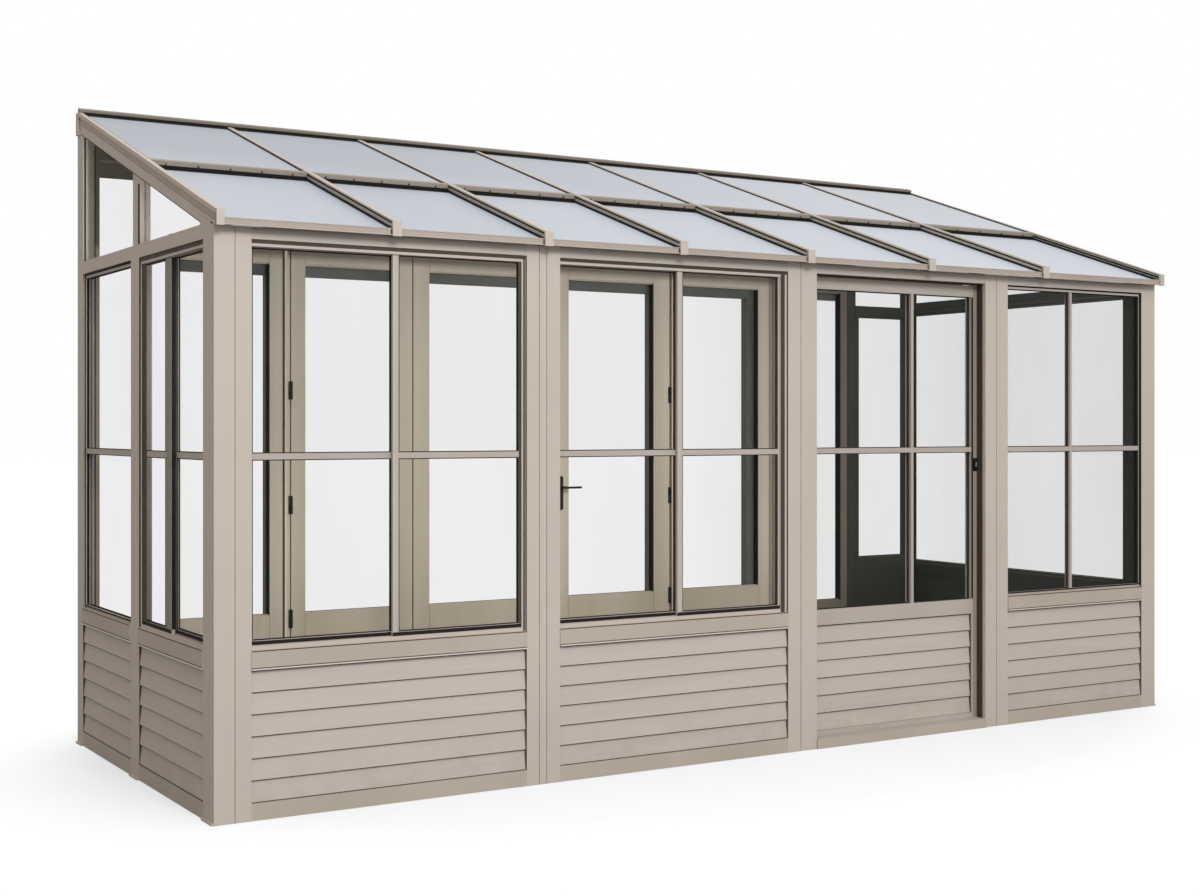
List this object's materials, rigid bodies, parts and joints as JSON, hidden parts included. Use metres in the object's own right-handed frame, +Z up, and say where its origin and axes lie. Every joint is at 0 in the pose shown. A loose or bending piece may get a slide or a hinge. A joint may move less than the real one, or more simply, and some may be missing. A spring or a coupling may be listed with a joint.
{
  "type": "sunroom",
  "caption": "Lean-to sunroom with sliding windows, a sliding front door, lap-board low walls, a pair of French doors and a lever door behind, under a sloping opal panel roof.",
  "frame": {"origin": "middle of the footprint at floor level", "axes": "+Z up, +X along the front from left to right, front wall towards -Y, house wall side towards +Y"},
  "size_m": [4.816, 1.865, 2.7773],
  "materials": {
    "frame_paint": "taupe powder coat, satin",
    "rafter_metal": "dark ribbed extrusion",
    "board_vinyl": "taupe lap board, matt",
    "lining": "dark matt sheet",
    "glass": "clear",
    "roof_opal": "opal sheet, satin",
    "rear_paint": "dark satin paint",
    "leaf_paint": "khaki paint, satin",
    "track_metal": "satin",
    "black_metal": "black, satin",
    "bright_metal": "brushed"
  },
  "bodies": {
    "frame": {"posts_front_corner": "frame_paint", "posts_front_mid": "frame_paint", "posts_end_mid": "frame_paint", "posts_rear_corner": "frame_paint", "header_front": "frame_paint", "tie_beams": "frame_paint", "base_rails": "frame_paint", "sill_rails": "frame_paint", "slider_frame_one": "frame_paint", "slider_frame_two": "frame_paint", "slider_frame_end": "frame_paint", "fixed_frames": "frame_paint", "gable_mullions": "frame_paint", "rake_beams": "frame_paint", "cap_strips": "frame_paint", "end_caps": "frame_paint", "purlin_bars": "frame_paint", "eave_fascia": "frame_paint", "ridge_bar": "frame_paint", "wall_plate": "frame_paint", "rafters": "rafter_metal", "boards_front": "board_vinyl", "boards_ends": "board_vinyl", "wall_linings": "lining", "fixed_glass": "glass", "gable_glass": "glass", "rear_fixed_glass": "glass", "roof_panels_low": "roof_opal", "roof_panels_up": "roof_opal", "posts_rear_mid": "rear_paint", "header_rear": "rear_paint", "rear_fixed_frames": "leaf_paint", "rear_head_casing": "leaf_paint", "rear_threshold": "track_metal", "door_sill_track": "track_metal", "door_head_track": "track_metal", "hinge_jamb_leaves": "black_metal", "purlin_screws": "black_metal"},
    "sash_one": {"sash_one_frame": "frame_paint", "sash_one_glass": "glass"},
    "sash_two": {"sash_two_frame": "frame_paint", "sash_two_glass": "glass"},
    "sash_end": {"sash_end_frame": "frame_paint", "sash_end_glass": "glass"},
    "sliding_door": {"door_frame": "frame_paint", "door_glass": "glass", "door_boards": "board_vinyl", "door_rollers": "bright_metal", "door_pull": "bright_metal"},
    "leaf_a": {"leaf_a_frame": "leaf_paint", "leaf_a_glass": "glass", "leaf_a_hinges": "black_metal"},
    "leaf_b": {"leaf_b_frame": "leaf_paint", "leaf_b_glass": "glass", "leaf_b_hinges": "black_metal"},
    "leaf_c": {"leaf_c_frame": "leaf_paint", "leaf_c_glass": "glass", "leaf_c_hinges": "black_metal", "lever_plate": "black_metal"},
    "lever": {"lever": "black_metal"}
  },
  "joints": [
    {"name": "sash_one_slide", "type": "slide", "parent": "frame", "child": "sash_one", "axis": [1, 0, 0], "range_m": [0, 0.5]},
    {"name": "sash_two_slide", "type": "slide", "parent": "frame", "child": "sash_two", "axis": [1, 0, 0], "range_m": [0, 0.48]},
    {"name": "sash_end_slide", "type": "slide", "parent": "frame", "child": "sash_end", "axis": [0, 1, 0], "range_m": [0, 0.3]},
    {"name": "door_slide", "type": "slide", "parent": "frame", "child": "sliding_door", "axis": [-1, 0, 0], "range_m": [0, 0.9]},
    {"name": "leaf_a_swing", "type": "hinge", "parent": "frame", "child": "leaf_a", "pos_m": [-1.455, 0.8265, 1.1], "axis": [0, 0, 1], "range_deg": [-90, 0]},
    {"name": "leaf_b_swing", "type": "hinge", "parent": "frame", "child": "leaf_b", "pos_m": [-0.05, 0.8265, 1.1], "axis": [0, 0, 1], "range_deg": [0, 90]},
    {"name": "leaf_c_swing", "type": "hinge", "parent": "frame", "child": "leaf_c", "pos_m": [0.658, 0.8265, 1.1], "axis": [0, 0, 1], "range_deg": [0, 90]},
    {"name": "lever_turn", "type": "hinge", "parent": "leaf_c", "child": "lever", "pos_m": [-0.008, 0.8115, 1.075], "axis": [0, 1, 0], "range_deg": [0, 40], "stiffness_Nm_per_rad": 1}
  ]
}
